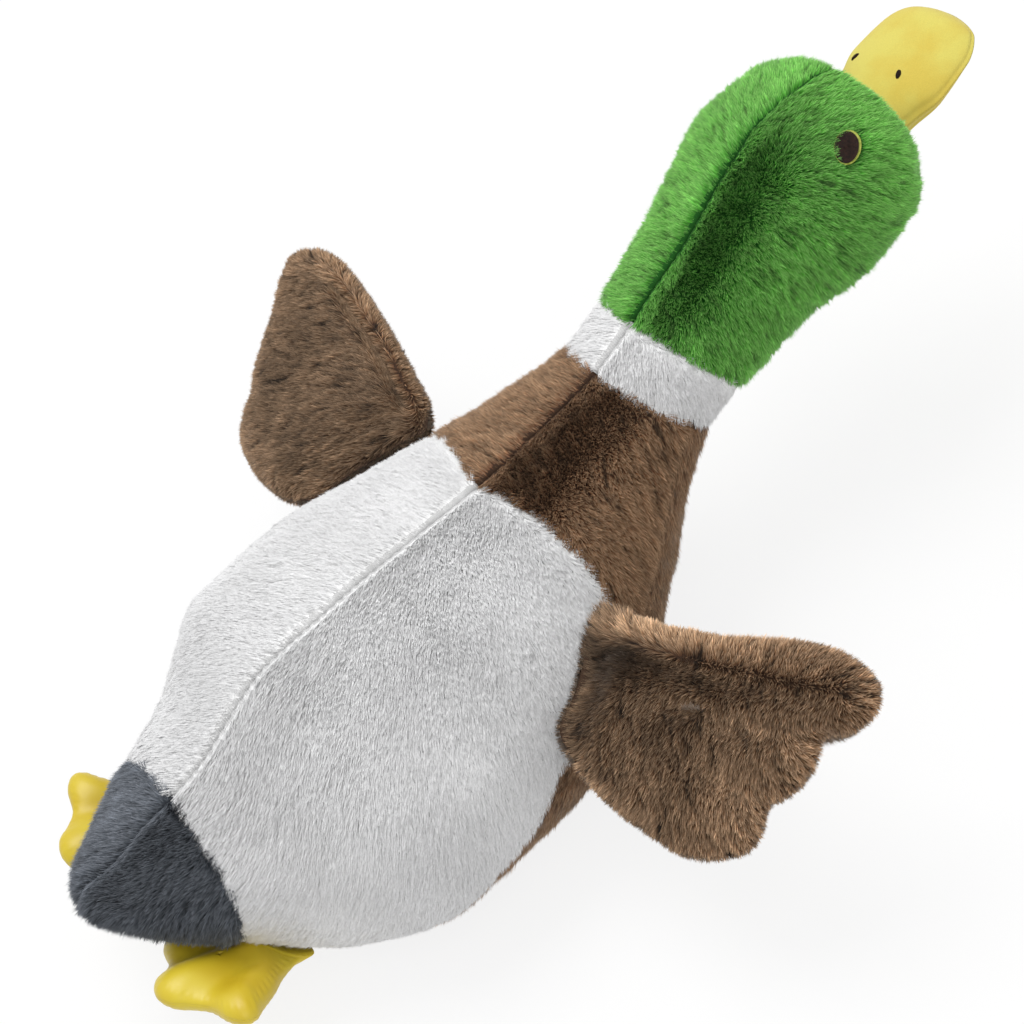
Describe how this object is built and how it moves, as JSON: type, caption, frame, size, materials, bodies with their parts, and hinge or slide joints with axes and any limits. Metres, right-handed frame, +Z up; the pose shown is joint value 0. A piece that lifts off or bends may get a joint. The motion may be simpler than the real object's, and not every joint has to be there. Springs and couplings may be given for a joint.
{
  "type": "plush duck",
  "caption": "Sewn plush mallard lying on its belly, with stuffed wings and webbed feet that swing on their seams and a soft neck that nods",
  "frame": {"origin": "on the floor under the middle of the duck's bounding box", "axes": "+Z up, the bill points along -Y, the duck's left side is at +X"},
  "size_m": [0.3276, 0.4, 0.1285],
  "materials": {
    "green_plush": "short velvety plush",
    "white_plush": "short velvety plush",
    "brown_plush": "short velvety plush",
    "grey_plush": "short velvety plush",
    "yellow_suede": "matte suede-like cloth",
    "yellow_vinyl": "smooth coated cloth",
    "dark_thread": "satin stitch",
    "rim_thread": "satin stitch",
    "stuffing": "loose fibre"
  },
  "bodies": {
    "torso": {"body_filling": "stuffing", "belly_panel": "brown_plush", "back_left": "white_plush", "back_right": "white_plush", "breast_left": "brown_plush", "breast_right": "brown_plush", "tail_left": "grey_plush", "tail_right": "grey_plush", "collar_left": "white_plush", "collar_right": "white_plush", "neck_filling": "stuffing"},
    "head": {"head_filling": "stuffing", "head_left": "green_plush", "head_right": "green_plush", "bill_upper": "yellow_suede", "bill_lower": "yellow_suede", "bill_filling": "stuffing", "eye_left": "dark_thread", "eye_right": "dark_thread", "eye_rim_left": "rim_thread", "eye_rim_right": "rim_thread", "nostril_left": "dark_thread", "nostril_right": "dark_thread"},
    "wing_left": {"wing_filling_left": "stuffing", "wing_top_left": "brown_plush", "wing_under_left": "brown_plush"},
    "foot_left": {"foot_filling_left": "stuffing", "foot_top_left": "yellow_vinyl", "foot_sole_left": "yellow_vinyl"},
    "wing_right": {"wing_filling_right": "stuffing", "wing_top_right": "brown_plush", "wing_under_right": "brown_plush"},
    "foot_right": {"foot_filling_right": "stuffing", "foot_top_right": "yellow_vinyl", "foot_sole_right": "yellow_vinyl"}
  },
  "joints": [
    {"name": "neck_nod", "type": "hinge", "parent": "torso", "child": "head", "pos_m": [0, -0.0515, 0.0761], "axis": [1, 0, 0], "range_deg": [-12, 15], "stiffness_Nm_per_rad": 1.5, "deforming": ["collar_left", "collar_right", "neck_filling"]},
    {"name": "wing_flap_left", "type": "hinge", "parent": "torso", "child": "wing_left", "pos_m": [0.06671, 0.03431, 0.06204], "axis": [-0.4251, -0.8873, 0.1787], "range_deg": [-25, 50], "stiffness_Nm_per_rad": 0.4},
    {"name": "wing_flap_right", "type": "hinge", "parent": "torso", "child": "wing_right", "pos_m": [-0.06671, 0.03431, 0.06204], "axis": [-0.4251, 0.8873, -0.1787], "range_deg": [-25, 50], "stiffness_Nm_per_rad": 0.4},
    {"name": "foot_swing_left", "type": "hinge", "parent": "torso", "child": "foot_left", "pos_m": [0.03805, 0.15378, 0.01795], "axis": [0.9659, -0.1255, 0.2264], "range_deg": [-40, 2], "stiffness_Nm_per_rad": 0.08},
    {"name": "foot_swing_right", "type": "hinge", "parent": "torso", "child": "foot_right", "pos_m": [-0.03805, 0.15378, 0.01795], "axis": [0.9659, 0.1255, -0.2264], "range_deg": [-40, 2], "stiffness_Nm_per_rad": 0.08}
  ]
}
